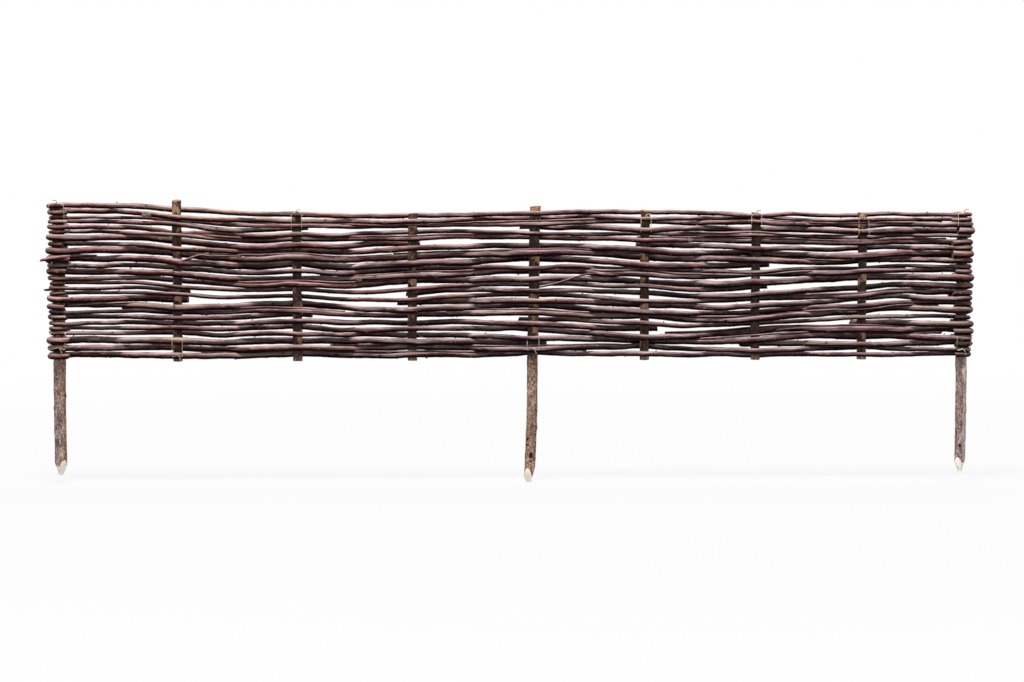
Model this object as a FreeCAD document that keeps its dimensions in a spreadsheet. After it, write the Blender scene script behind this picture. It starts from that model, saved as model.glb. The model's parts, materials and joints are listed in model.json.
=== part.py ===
import FreeCAD, Part
import Sketcher
import math
import os
import random

# A woven willow hurdle for edging a lawn or a bed, in millimetres.
# X runs along the panel, the front faces -Y, Z is up.
# The origin is on the middle post, at the line where the ground meets the legs.

SIZES = (
    ("bay_1", 153.0, "left end post to upright 1"),
    ("bay_2", 155.0, "upright 1 to upright 2"),
    ("bay_3", 150.0, "upright 2 to upright 3"),
    ("bay_4", 156.0, "upright 3 to the middle post"),
    ("bay_5", 147.0, "middle post to upright 4"),
    ("bay_6", 144.0, "upright 4 to upright 5"),
    ("bay_7", 140.0, "upright 5 to upright 6"),
    ("bay_8", 131.0, "upright 6 to the right end post"),
    ("left_post_diameter", 16.0, "left leg"),
    ("middle_post_diameter", 14.0, "middle leg"),
    ("right_post_diameter", 14.5, "right leg"),
    ("upright_diameter", 12.0, "short uprights"),
    ("post_taper", 0.6, "how much thinner a post is in the weave than at its leg"),
    ("leg_length", 151.0, "ground line to the tip of an end post"),
    ("middle_leg_extra", 12.0, "how much further the middle leg reaches"),
    ("middle_lean", 1.2, "lean of the middle post, in degrees"),
    ("point_length", 19.0, "length of the axe-cut point"),
    ("point_width", 3.6, "width left at the blunt tip"),
    ("point_facets", 3, "axe cuts round each point"),
    ("upright_foot", 3.0, "short uprights below the ground line"),
    ("ground_gap", 1.0, "ground line to the lowest rod"),
    ("tall_stub", 8.0, "upright 1 and the middle post above the top rod"),
    ("flush_stub", 1.0, "the other stakes above the top rod"),
    ("row_count", 26, "rows of rods, one above the other"),
    ("rod_diameter", 7.1, "mean of all the rods, half way along"),
    ("rod_taper", 0.34, "share of its diameter that a rod loses from butt to tip"),
    ("rod_spread", 0.2, "how far rods differ from the mean, as a share"),
    ("rod_clearance", 0.3, "between a rod and whatever it rests on"),
    ("rod_spare", 0.35, "mean slack between two rows"),
    ("open_share", 0.5, "share of a missing rod's room that stays open"),
    ("rod_stagger", 0.28, "how far a rod rides up or down at a stake, in rod diameters"),
    ("tail_length", 9.0, "end of a rod past the axis of the end post it wraps"),
    ("butt_overhang", 12.0, "end of a rod past the axis of the stake it stops behind"),
)

STAKES = (
    "left_end_post",
    "upright_1",
    "upright_2",
    "upright_3",
    "middle_post",
    "upright_4",
    "upright_5",
    "upright_6",
    "right_end_post",
)
LEFT = 0
MIDDLE = STAKES.index("middle_post")
RIGHT = len(STAKES) - 1
POSTS = (LEFT, MIDDLE, RIGHT)
TALL_STAKES = (1, MIDDLE)

# Rows whose rods stop behind a stake: the first and last stake of each rod, row 0 lowest.
BROKEN_ROWS = {
    2: ((0, 4), (6, 8)),
    5: ((0, 5), (7, 8)),
    6: ((0, 2), (4, 8)),
    9: ((0, 1), (3, 8)),
    11: ((0, 1), (3, 8)),
    12: ((0, 6),),
    16: ((0, 6),),
    19: ((0, 3), (5, 8)),
    22: ((0, 2), (4, 8)),
}
TURN_CORNERS = 4
SEED = 11

doc = FreeCAD.newDocument("willow_hurdle")
dims = doc.addObject("Spreadsheet::Sheet", "dims")


def write_size(cell, alias, value, note):
    dims.set(f"A{cell}", note)
    dims.set(f"B{cell}", str(value))
    dims.setAlias(f"B{cell}", alias)


for cell, (alias, value, note) in enumerate(SIZES, start=1):
    write_size(cell, alias, value, note)
doc.recompute()
size = {alias: float(dims.get(alias)) for alias, value, note in SIZES}
row_count = int(size["row_count"])
clearance = size["rod_clearance"]
choice = random.Random(SEED)

# Where the stakes stand and how thick they are in the weave

bays = [size[f"bay_{bay + 1}"] for bay in range(RIGHT)]
stake_x = [sum(bays[:stake]) - sum(bays[:MIDDLE]) for stake in range(len(STAKES))]
stake_radius = [size["upright_diameter"] / 2] * len(STAKES)
for post, alias in zip(POSTS, ("left_post", "middle_post", "right_post")):
    stake_radius[post] = (size[f"{alias}_diameter"] - size["post_taper"]) / 2


def stake_axis(stake, height):
    lean = size["middle_lean"] if stake == MIDDLE else 0.0
    return stake_x[stake] + height * math.tan(math.radians(lean))


# How thick each row is along the panel

row_share = [choice.uniform(1 - size["rod_spread"], 1 + size["rod_spread"]) for row in range(row_count)]
row_butt_left = [choice.random() < 0.5 for row in range(row_count)]


def rod_radius(row, x):
    along = (x - stake_x[LEFT]) / (stake_x[RIGHT] - stake_x[LEFT])
    from_butt = along if row_butt_left[row] else 1 - along
    return row_share[row] * (1 + size["rod_taper"] * (0.5 - from_butt)) * size["rod_diameter"] / 2


# How high each row lies: rods rest on one another in the middle of each bay

def spans(row):
    return BROKEN_ROWS.get(row, ((LEFT, RIGHT),))


def presence(row, place):
    """1 where the row has a rod, less in the opening that a rod's end leaves beside its stake."""
    opening = 0.0
    for first, last in spans(row):
        if first <= place <= last:
            return 1.0
        opening = max(opening, 0.75 - min(abs(place - first), abs(place - last)))
    return opening


def stack(place, x, draws):
    """Height of every row's axis at one place, counted in stakes from the left."""
    shares = [presence(row, place) for row in range(row_count)]
    missing = sum((1 - shares[row]) * 2 * rod_radius(row, x) for row in range(row_count))
    slack = size["rod_spare"] * row_count + size["open_share"] * missing
    heights = []
    level = size["ground_gap"]
    for row in range(row_count):
        radius = rod_radius(row, x)
        heights.append(level + shares[row] * radius)
        level += shares[row] * (2 * radius + clearance) + slack * draws[row] / sum(draws)
    return heights


# One set of draws a bay: most rows lie close, a few stand apart.
third_heights = []
for bay in range(RIGHT):
    draws = [choice.random() ** 3 for row in range(row_count)]
    for third in (1, 2):
        share = third / 3
        third_heights.append(stack(bay + share, stake_x[bay] + share * bays[bay], draws))


def in_front(row, stake):
    return (row + stake) % 2 == 1


def upright_heights(stake):
    """Near the mean of the bays on both sides, rods on one face never closer than touching."""
    reach = size["rod_stagger"] * size["rod_diameter"]
    before, after = third_heights[2 * stake - 1], third_heights[2 * stake]
    heights = [(before[row] + after[row]) / 2 + choice.uniform(-reach, reach) for row in range(row_count)]
    floor = {True: size["ground_gap"], False: size["ground_gap"]}
    for row in range(row_count):
        if presence(row, stake) == 1.0:
            face = in_front(row, stake)
            radius = rod_radius(row, stake_x[stake])
            heights[row] = max(heights[row], floor[face] + radius)
            floor[face] = heights[row] + radius + clearance
    return heights


# Rods run level from the nearest third of a bay round the end posts.
stake_heights = [third_heights[0]]
for stake in range(1, RIGHT):
    stake_heights.append(upright_heights(stake))
stake_heights.append(third_heights[-1])

weave_tops = []
for stake, label in enumerate(STAKES):
    standing = [row for row in range(row_count) if presence(row, stake) == 1.0]
    weave_tops.append(max(stake_heights[stake][row] + rod_radius(row, stake_x[stake]) for row in standing))
    note = f"top of the weave at the {label.replace('_', ' ')}"
    write_size(len(SIZES) + 1 + stake, f"weave_top_{stake + 1}", round(weave_tops[stake], 2), note)
doc.recompute()

# The stakes: six plain uprights, and three posts with a leg and an axe-cut point

def stake_place(stake):
    """Formula for the distance of a stake from the middle post."""
    if stake < MIDDLE:
        return "-(" + " + ".join(f"dims.bay_{bay + 1}" for bay in range(stake, MIDDLE)) + ")"
    return " + ".join(f"dims.bay_{bay + 1}" for bay in range(MIDDLE, stake))


def stake_top(stake):
    stub = "tall_stub" if stake in TALL_STAKES else "flush_stub"
    return f"dims.weave_top_{stake + 1} + dims.{stub}"


def make_upright(stake):
    upright = doc.addObject("Part::Cylinder", STAKES[stake])
    upright.setExpression("Radius", "dims.upright_diameter / 2")
    upright.setExpression("Height", f"{stake_top(stake)} + dims.upright_foot")
    upright.setExpression("Placement.Base.x", stake_place(stake))
    upright.setExpression("Placement.Base.z", "-dims.upright_foot")
    return upright


def outline(body, label, corners):
    """A closed sketch of straight lines in the plane of the panel."""
    sketch = body.newObject("Sketcher::SketchObject", label)
    sketch.AttachmentSupport = [(body.Origin.OriginFeatures[4], "")]
    sketch.MapMode = "FlatFace"
    count = len(corners)
    for corner in range(count):
        start = FreeCAD.Vector(*corners[corner], 0)
        end = FreeCAD.Vector(*corners[(corner + 1) % count], 0)
        sketch.addGeometry(Part.LineSegment(start, end), False)
    for corner in range(count):
        sketch.addConstraint(Sketcher.Constraint("Coincident", corner, 2, (corner + 1) % count, 1))
    return sketch


# A sketch's own numbers for its origin and its two axes
SKETCH = {"origin": -1, "level axis": -1, "upright axis": -2}


def fix(sketch, kind, *lines):
    for drawn in lines:
        sketch.addConstraint(Sketcher.Constraint(kind, drawn))


def start_on(sketch, axis, *lines):
    for drawn in lines:
        sketch.addConstraint(Sketcher.Constraint("PointOnObject", drawn, 1, SKETCH[axis]))


def measure(sketch, kind, start, end, name, formula):
    """Bind the distance between the starts of two lines, or of one line and the origin."""
    start, end = SKETCH.get(start, start), SKETCH.get(end, end)
    index = sketch.addConstraint(Sketcher.Constraint(kind, start, 1, end, 1, 1.0))
    sketch.renameConstraint(index, name)
    sketch.setExpression(f"Constraints.{name}", formula)


def make_post(stake, alias, leg_aliases):
    label = STAKES[stake]
    body = doc.addObject("PartDesign::Body", label)
    diameter, leg = size[alias], sum(size[part] for part in leg_aliases)
    diameter_formula = f"dims.{alias}"
    leg_formula = "(" + " + ".join(f"dims.{part}" for part in leg_aliases) + ")"

    foot, waist, top = diameter / 2, stake_radius[stake], weave_tops[stake]
    round_profile = outline(
        body,
        f"{label}_profile",
        [(0, -leg), (foot, -leg), (foot, 0), (waist, 0), (waist, top), (0, top)],
    )
    fix(round_profile, "Horizontal", 0, 2, 4)
    fix(round_profile, "Vertical", 1, 3)
    start_on(round_profile, "upright axis", 0, 5)
    start_on(round_profile, "level axis", 2)
    measure(round_profile, "DistanceX", "origin", 2, "leg_radius", f"{diameter_formula} / 2")
    waist_formula = f"({diameter_formula} - dims.post_taper) / 2"
    measure(round_profile, "DistanceX", "origin", 3, "waist_radius", waist_formula)
    measure(round_profile, "DistanceY", 0, "origin", "leg_length", leg_formula)
    measure(round_profile, "DistanceY", "origin", 4, "top", stake_top(stake))
    turned = body.newObject("PartDesign::Revolution", f"{label}_turned")
    turned.Profile = round_profile
    turned.ReferenceAxis = (round_profile, ["V_Axis"])
    turned.Angle = 360

    tip, shoulder = size["point_width"] / 2, leg - size["point_length"]
    wedge = outline(body, f"{label}_wedge", [(tip, -leg), (diameter, -leg), (foot, -shoulder)])
    fix(wedge, "Horizontal", 0)
    measure(wedge, "DistanceX", "origin", 0, "tip_half", "dims.point_width / 2")
    measure(wedge, "DistanceY", 0, "origin", "tip_depth", leg_formula)
    measure(wedge, "DistanceX", "origin", 2, "shoulder_radius", f"{diameter_formula} / 2")
    measure(wedge, "DistanceY", 2, "origin", "shoulder_depth", f"{leg_formula} - dims.point_length")
    measure(wedge, "DistanceX", "origin", 1, "outer_radius", diameter_formula)
    cut = body.newObject("PartDesign::Pocket", f"{label}_cut")
    cut.Profile = wedge
    cut.Type = "ThroughAll"
    cut.SideType = "Symmetric"
    facets = body.newObject("PartDesign::PolarPattern", f"{label}_facets")
    facets.Originals = [cut]
    facets.Axis = (round_profile, ["V_Axis"])
    facets.Angle = 360
    facets.setExpression("Occurrences", "dims.point_facets")
    body.Tip = facets

    if stake == MIDDLE:
        body.Placement.Rotation = FreeCAD.Rotation(FreeCAD.Vector(0, 1, 0), 1)
        body.setExpression("Placement.Rotation.Angle", "dims.middle_lean")
    else:
        body.setExpression("Placement.Base.x", stake_place(stake))
    return body


nodes = [
    make_post(LEFT, "left_post_diameter", ("leg_length",)),
    make_post(MIDDLE, "middle_post_diameter", ("leg_length", "middle_leg_extra")),
    make_post(RIGHT, "right_post_diameter", ("leg_length",)),
]
nodes += [make_upright(stake) for stake in range(len(STAKES)) if stake not in POSTS]

# The rods: six-sided sections along the weave, bent half round the end posts

def section(x, y, z, radius, sideways, stretch=1.0):
    """A six-sided section with its ridge up; sideways is a level direction across the rod."""
    middle = FreeCAD.Vector(x, y, z)
    across = sideways * radius * stretch
    up = FreeCAD.Vector(0, 0, radius)
    ring = [middle + up, middle + across + up / 2, middle + across - up / 2]
    return ring + [middle - up, middle - across - up / 2, middle - across + up / 2]


def flat_sided(rings):
    """A solid with flat sides from each ring of corners to the next, closed at both ends."""
    sides = [rings[0][::-1], rings[-1]]
    for ring, following in zip(rings, rings[1:]):
        for corner in range(len(ring)):
            before = corner - 1
            sides.append([ring[before], ring[corner], following[corner], following[before]])
    faces = [Part.Face(Part.makePolygon(side + side[:1])) for side in sides]
    return Part.Solid(Part.makeShell(faces))


ACROSS = FreeCAD.Vector(0, 1, 0)


def crest(row, stake):
    """Axis of a rod where it passes a stake, and its radius there."""
    height = stake_heights[stake][row]
    radius = rod_radius(row, stake_x[stake])
    side = -1 if in_front(row, stake) else 1
    return stake_axis(stake, height), side * (stake_radius[stake] + clearance + radius), height, radius


def thirds(row, bay):
    """The rod's places a third and two thirds of the way along a bay."""
    start, end = crest(row, bay)[1], crest(row, bay + 1)[1]
    found = []
    for third in (1, 2):
        x = stake_x[bay] + bays[bay] * third / 3
        swing = (1 - math.cos(math.pi * third / 3)) / 2
        height = third_heights[2 * bay + third - 1][row]
        found.append((x, start + (end - start) * swing, height, rod_radius(row, x)))
    return found


def wrap(row, stake):
    """Sections half round an end post, from the crest outwards and on to the end of the rod."""
    x, reach, height, radius = crest(row, stake)
    outward = -1 if stake == LEFT else 1
    side = math.copysign(1, reach)
    half_corner = math.pi / TURN_CORNERS / 2
    stretch = 1 / math.cos(half_corner)
    rings = []
    for corner in range(TURN_CORNERS):
        turned = (2 * corner + 1) * half_corner
        radial = FreeCAD.Vector(outward * math.sin(turned), side * math.cos(turned), 0)
        bend = radial * abs(reach) * stretch
        rings.append(section(x + bend.x, bend.y, height, radius, radial * side, stretch))
    rings.append(section(x - outward * size["tail_length"], -reach, height, radius, -ACROSS))
    return rings


def cut_end(row, stake, onward):
    """Last section of a rod that stops behind a stake."""
    x, reach, height, radius = crest(row, stake)
    return [section(x + onward * size["butt_overhang"], reach, height, radius, ACROSS)]


def make_rod(label, row, first, last):
    rings = wrap(row, LEFT)[::-1] if first == LEFT else cut_end(row, first, -1)
    for stake in range(first, last + 1):
        rings.append(section(*crest(row, stake), ACROSS))
        if stake < last:
            rings += [section(*place, ACROSS) for place in thirds(row, stake)]
    rings += wrap(row, RIGHT) if last == RIGHT else cut_end(row, last, 1)
    rod = doc.addObject("Part::Feature", label)
    rod.Shape = flat_sided(rings)
    return rod


for row in range(row_count):
    lengths = spans(row)
    for part, (first, last) in enumerate(lengths):
        ending = ("_left", "_right")[part] if len(lengths) > 1 else ""
        nodes.append(make_rod(f"rod_{row + 1:02d}{ending}", row, first, last))

doc.recompute()
faults = [thing.Label for thing in doc.Objects if "Invalid" in thing.State or "Error" in thing.State]
faults += [node.Label for node in nodes if node.Shape.isNull() or not node.Shape.isValid()]
if faults:
    raise RuntimeError("not sound: " + ", ".join(faults))

os.makedirs("parts", exist_ok=True)
for node in nodes:
    node.Shape.exportStep(f"parts/{node.Label}.step")
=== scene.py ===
import json
import math
import random

import bpy
from mathutils import Matrix, Vector

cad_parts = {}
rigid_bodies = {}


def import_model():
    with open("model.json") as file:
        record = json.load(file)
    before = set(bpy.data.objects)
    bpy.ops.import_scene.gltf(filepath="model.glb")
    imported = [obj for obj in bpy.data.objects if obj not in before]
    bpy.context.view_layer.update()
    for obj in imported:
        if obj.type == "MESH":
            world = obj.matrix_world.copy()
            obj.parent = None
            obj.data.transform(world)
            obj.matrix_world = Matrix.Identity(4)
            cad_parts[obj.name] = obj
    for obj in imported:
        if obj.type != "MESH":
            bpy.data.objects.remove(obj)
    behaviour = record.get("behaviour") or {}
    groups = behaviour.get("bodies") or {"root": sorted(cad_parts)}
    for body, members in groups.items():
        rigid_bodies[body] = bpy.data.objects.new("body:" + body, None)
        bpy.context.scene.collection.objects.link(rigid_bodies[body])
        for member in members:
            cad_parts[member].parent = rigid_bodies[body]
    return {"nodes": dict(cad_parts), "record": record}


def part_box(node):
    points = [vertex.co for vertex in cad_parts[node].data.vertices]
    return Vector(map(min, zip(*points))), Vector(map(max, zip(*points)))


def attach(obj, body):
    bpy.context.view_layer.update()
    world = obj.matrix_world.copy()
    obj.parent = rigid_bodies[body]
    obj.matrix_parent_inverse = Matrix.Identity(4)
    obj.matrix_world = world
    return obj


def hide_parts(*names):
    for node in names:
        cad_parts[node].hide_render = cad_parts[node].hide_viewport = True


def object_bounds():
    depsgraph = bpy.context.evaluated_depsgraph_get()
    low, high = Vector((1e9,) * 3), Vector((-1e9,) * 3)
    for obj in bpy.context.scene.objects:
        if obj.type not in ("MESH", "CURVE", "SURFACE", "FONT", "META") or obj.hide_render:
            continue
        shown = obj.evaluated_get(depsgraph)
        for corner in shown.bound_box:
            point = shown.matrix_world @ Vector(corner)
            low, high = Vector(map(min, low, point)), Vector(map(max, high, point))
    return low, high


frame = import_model()
cad_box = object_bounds()

MM = 0.001
chance = random.Random(5)

LEGS = ("left_end_post", "middle_post", "right_end_post")

# Straight stick that every rod is cut from
STICK_LENGTH = 4.0
STICK_RADIUS = 3.5 * MM
STICK_SIDES = 14
STICK_CUTS = (99, 15)
STICK_MARGIN = 0.02
BUD_SPACING = 22 * MM
BUD_STEPS = ((0.12 * MM, 0.3 * MM), (0.22 * MM, 0.4 * MM))
BUD_LEAN = 0.9 * MM
BUD_SOFTENING = 0.35
SPUR_STEPS = ((0.05 * MM, 0.7 * MM), (0.12 * MM, 0.5 * MM))
SPUR_SHARE = 0.16
LUMP_SIZE = 9 * MM
LUMP_HEIGHT = 0.8 * MM
CROOKED = ((36 * MM, 2.0 * MM, "Y"), (29 * MM, 1.7 * MM, "Z"))

# Rods: a rod of the frame has six sides, and its route goes through the middles of its sections
FRAME_ROD_SIDES = 6
ROUTE_RESOLUTION = 16
ROUTE_SHIFT = 0.35 * MM
THICKNESS_CHANGE = 0.07
CUT_SLANT = 0.45
END_SPARE = (-8 * MM, 4 * MM)
CREST_DEPTH = 9.5 * MM
CREST_SWELL = 0.07
CREST_NEAR = 0.5 * MM
LEFT_BAY = (-0.46, -0.56)
LEFT_BAY_SLIMMER = 0.13

# Wobble that all rods share, so that neighbours stay beside each other
WOBBLES = ((0.07, 1.5 * MM), (0.17, 4.6 * MM))

# Places past which a rod bends round an end post, where its bark splits
BENT_PAST_LEFT = -0.613
BENT_PAST_RIGHT = 0.561

# Stakes
STAKE_SIDES = 48
STAKE_RING_SPACING = 1.3 * MM
STAKE_FIRST_CUTS = 9
STAKE_LUMPS = ((16 * MM, 1.1 * MM), (6.4 * MM, 0.55 * MM))
CROOK_SIZE = 0.11
CROOK_REACH = 2.4 * MM
TOP_SAWN = 1 * MM
TOP_SLANT = 0.16
TOP_RINGS = 5

# Points of the posts: main cuts in turn with lesser ones, which the plain point lacks
POINT_LENGTH = 19 * MM
POINT_WIDTH = 3.6 * MM
POINT_CUTS = 3
POINT_UNEVEN = 0.12
POINT_TURN = {"left_end_post": 1, "middle_post": 0, "right_end_post": 0}
LESSER_LENGTH = 0.65
LESSER_WIDTH = 1.6
PLAIN_POINT = "middle_post"

# Knots on the legs: height, turn in degrees (270 is the front), width, length, and what became of the scar
KNOTS = {
    "left_end_post": (
        (-64 * MM, 195, 5 * MM, 7 * MM, "healed"),
        (-47 * MM, 340, 4 * MM, 5 * MM, "rotten"),
        (-101 * MM, 80, 6 * MM, 8 * MM, "healed"),
        (-92 * MM, 255, 3 * MM, 4 * MM, "healed"),
    ),
    "middle_post": (
        (-128 * MM, 276, 5 * MM, 8 * MM, "rotten"),
        (-107 * MM, 228, 3.4 * MM, 4 * MM, "rotten"),
        (-114 * MM, 224, 3.2 * MM, 4 * MM, "rotten"),
        (-62 * MM, 285, 5 * MM, 6 * MM, "healed"),
        (-92 * MM, 10, 5 * MM, 7 * MM, "healed"),
        (-40 * MM, 100, 6 * MM, 8 * MM, "rotten"),
    ),
    "right_end_post": (
        (-17 * MM, 283, 3.4 * MM, 9 * MM, "peeled"),
        (-22 * MM, 298, 3.2 * MM, 16 * MM, "peeled"),
        (-14 * MM, 312, 3 * MM, 8 * MM, "peeled"),
        (-64 * MM, 200, 5 * MM, 6 * MM, "healed"),
        (-70 * MM, 335, 6 * MM, 8 * MM, "healed"),
        (-117 * MM, 262, 3.6 * MM, 4.5 * MM, "rotten"),
        (-88 * MM, 75, 5 * MM, 7 * MM, "rotten"),
    ),
}
UPRIGHT_KNOTS = 3
UPRIGHT_KNOT_HEIGHTS = (0.02, 0.18)
UPRIGHT_KNOT_SIZE = (5 * MM, 6 * MM)
KNOT_RISE = 0.55 * MM
KNOT_SINK = -0.9 * MM
KNOT_REACH = 1.5
KNOT_EDGE = 1.25
KNOT_SOFTNESS = 0.7
KNOT_RIM = 0.45
KNOT_LOBES = 3
KNOT_LOBE_DEPTH = 0.2

# Share of tan bark, and of a pale painted highlight, at the middle of a stake, and how it changes to the
# right
TAN_SHARES = {"left_end_post": (0.42, 0.55), "middle_post": (0.95, 0.0), "right_end_post": (0.12, -0.1)}
UPRIGHT_TAN = (0.6, 0.1)
PAINTED_HIGHLIGHT_SHARES = {"right_end_post": (0.1, 1.3)}
NO_PAINTED_HIGHLIGHT = (0, 0)

# Numbers of the finishes that follow the bark on a rod and on a stake
ROD_CUT = 1
STAKE_POINT = 1
STAKE_TOP = 2

# Thin twigs left on the rods: x, y, z and radius, in millimetres
TWIGS = {
    "curled_twig": (
        (-470, -14.0, 126, 1.8),
        (-452, -15.0, 130, 1.7),
        (-440, -15.6, 134.5, 1.6),
        (-430, -15.8, 137.6, 1.5),
        (-418, -15.0, 136.4, 1.4),
        (-400, -13.0, 136.2, 1.3),
        (-378, -9.5, 135.0, 1.1),
    ),
    "bay_twig": (
        (-602, -10, 70, 1.7),
        (-560, -7, 72.5, 1.6),
        (-520, -5, 73, 1.4),
        (-478, -9, 71, 1.2),
    ),
    "slanting_twig": (
        (8, -12.5, 92.5, 1.6),
        (33, -11, 97, 1.5),
        (52, -9, 103, 1.4),
        (72, -7, 108, 1.2),
        (92, -6, 109, 1.0),
    ),
    "foot_twig": (
        (318, -5, 36, 1.7),
        (352, -2, 38.5, 1.5),
        (388, -1, 38.6, 1.3),
        (412, -2, 36.5, 1.0),
    ),
    "left_stub": (
        (-566, 7, 134, 1.2),
        (-588, -8, 134.5, 2.3),
        (-606, -16.2, 133, 2.6),
        (-622, -17.2, 131.2, 2.5),
        (-636, -15.5, 129.5, 1.8),
    ),
    "lower_left_stub": (
        (-590, 12, 91.5, 1.9),
        (-614, 14, 91, 1.9),
        (-624, 13, 90, 1.8),
        (-635, 11, 89.5, 1.4),
    ),
}
TWIG_SPARE = (0.0, 1.0 * MM)

# Thin shoots laid in beside a rod: the rod, from where to where, over or under it, and radius at each end
SHOOTS = (
    ("rod_01", -0.42, 0.06, 1, 1.9 * MM, 1.1 * MM),
    ("rod_04", 0.09, 0.54, 1, 1.1 * MM, 1.9 * MM),
    ("rod_08", -0.53, -0.25, 1, 2.0 * MM, 1.2 * MM),
    ("rod_08", -0.11, 0.3, 1, 1.0 * MM, 1.8 * MM),
    ("rod_09", 0.19, 0.55, -1, 1.2 * MM, 1.9 * MM),
    ("rod_14", -0.45, -0.1, 1, 1.8 * MM, 1.1 * MM),
    ("rod_15", -0.26, 0.1, 1, 1.0 * MM, 1.7 * MM),
    ("rod_15", 0.04, 0.4, 1, 1.7 * MM, 1.0 * MM),
    ("rod_18", -0.43, -0.2, 1, 1.9 * MM, 1.2 * MM),
    ("rod_18", -0.16, 0.2, 1, 1.1 * MM, 1.9 * MM),
    ("rod_19", 0.24, 0.55, -1, 1.2 * MM, 1.8 * MM),
    ("rod_21", -0.47, 0.01, 1, 1.8 * MM, 1.1 * MM),
    ("rod_21", 0.14, 0.53, 1, 1.1 * MM, 1.7 * MM),
    ("rod_24", -0.21, 0.2, 1, 1.1 * MM, 1.8 * MM),
    ("rod_25", 0.24, 0.53, -1, 1.1 * MM, 1.8 * MM),
    ("rod_02", -0.29, 0.12, 1, 1.7 * MM, 1.0 * MM),
    ("rod_05", 0.18, 0.5, 1, 1.8 * MM, 1.1 * MM),
    ("rod_11", 0.2, 0.54, 1, 1.0 * MM, 1.6 * MM),
    ("rod_16", 0.06, 0.5, -1, 1.0 * MM, 1.8 * MM),
    ("rod_22", 0.15, 0.55, 1, 1.8 * MM, 1.1 * MM),
    ("rod_25", -0.4, 0.1, -1, 1.7 * MM, 1.0 * MM),
)
SHOOT_FORWARD = 4.5 * MM
SHOOT_PRESSED = 0.9
SHOOT_END_BACK = 3 * MM
SHOOT_END_DROP = 0.5
SHOOT_SLIDE = (6 * MM, 22 * MM)
# Share of its lift that a shoot keeps between the stakes, and the share that it gains at a stake
SHOOT_LIFT = (0.72, 0.28)

# Burrs on the rods: the rod, how far along, and the size
BURRS = (
    ("rod_25", -0.5, (6.5 * MM, 3.6 * MM, 3.9 * MM)),
    ("rod_21", 0.205, (4.2 * MM, 2.8 * MM, 3.2 * MM)),
    ("rod_15", -0.225, (4.6 * MM, 3.0 * MM, 3.3 * MM)),
    ("rod_09", 0.355, (4.0 * MM, 2.6 * MM, 2.9 * MM)),
    ("rod_18", -0.31, (3.8 * MM, 2.6 * MM, 3.0 * MM)),
    ("rod_04", -0.145, (4.4 * MM, 2.9 * MM, 3.1 * MM)),
)
BURR_RING = 2 * MM
BURR_FORWARD = 0.45
BURR_DETAIL = 5
BURR_LUMP_SIZE = 3.2 * MM
BURR_LUMP_HEIGHT = 2.4 * MM

# Wire ties
TIES_AT_TOP = ("left_end_post", "upright_2", "upright_4", "upright_5", "upright_6", "right_end_post")
TIES_AT_FOOT = ("left_end_post", "upright_1", "middle_post", "right_end_post")
WIRE_RADIUS = 0.35 * MM
WIRE_BEVEL = 2
WIRE_MERGE = 0.001 * MM
WIRE_GAP = 1.1 * WIRE_RADIUS
WIRE_BESIDE = 0.6 * MM
TWIST_TURNS = 3
TWIST_PITCH = 2.6 * MM
TWIST_RADIUS = 0.45 * MM
TWIST_CLEAR = 0.2 * MM
TOP_TWIST_BACK = 1.2 * MM
FOOT_TWIST_HEIGHT = 0.5
CURL_RADIUS = 3.6 * MM
# Where a wire lies on its outer and on its inner rod, in radii towards the edge of the weave
OUTER_BENDS = (0.35, -0.6)
INNER_BENDS = (0.6, -0.8)
# The side on which the rods loop round an end post, and how far out on that loop a wire crosses it
LOOPED_SIDE = {"left_end_post": -1, "right_end_post": 1}
LOOP_CROSSING = 0.72

# Floor, light and camera
FLOOR_SIZE = 40
FLOOR_COLOUR = (0.26, 0.26, 0.26, 1)
FLOOR_WHITE = 0.9
WHITE_FROM = 1.2
WHITE_SOFTNESS = 0.7
WHITE = (1, 1, 1, 1)
ROOM_LIGHT = 0.02
LAMPS = (
    ("key_light", (-0.4, -1.1, 3.4), 0.7, 250),
    ("front_fill", (0.3, -4.2, 0.1), 2.0, 60),
    ("back_light", (0.5, 1.4, 3.0), 1.1, 95),
    ("rear_fill", (-0.3, 4.0, 0.6), 2.2, 55),
    ("left_fill", (-4.0, -0.6, 0.6), 1.8, 50),
    ("right_fill", (4.0, -0.6, 0.6), 1.8, 50),
)
CAMERA_LENS = 120
CAMERA_DISTANCE = 4.45
CAMERA_AZIMUTH = math.radians(-2.0)
CAMERA_ELEVATION = math.radians(5.0)

# Finishes and surfaces
BARK_SHINE = 0.012
GROWTH_RING = 1.25 * MM
GROWTH_RING_WANDER = 1.4 * MM
SPECK_SOFTNESS = 0.35
SMOOTH_ANGLE = math.radians(45)
LEAST_WEIGHT = 0.01


# Finishes

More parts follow.
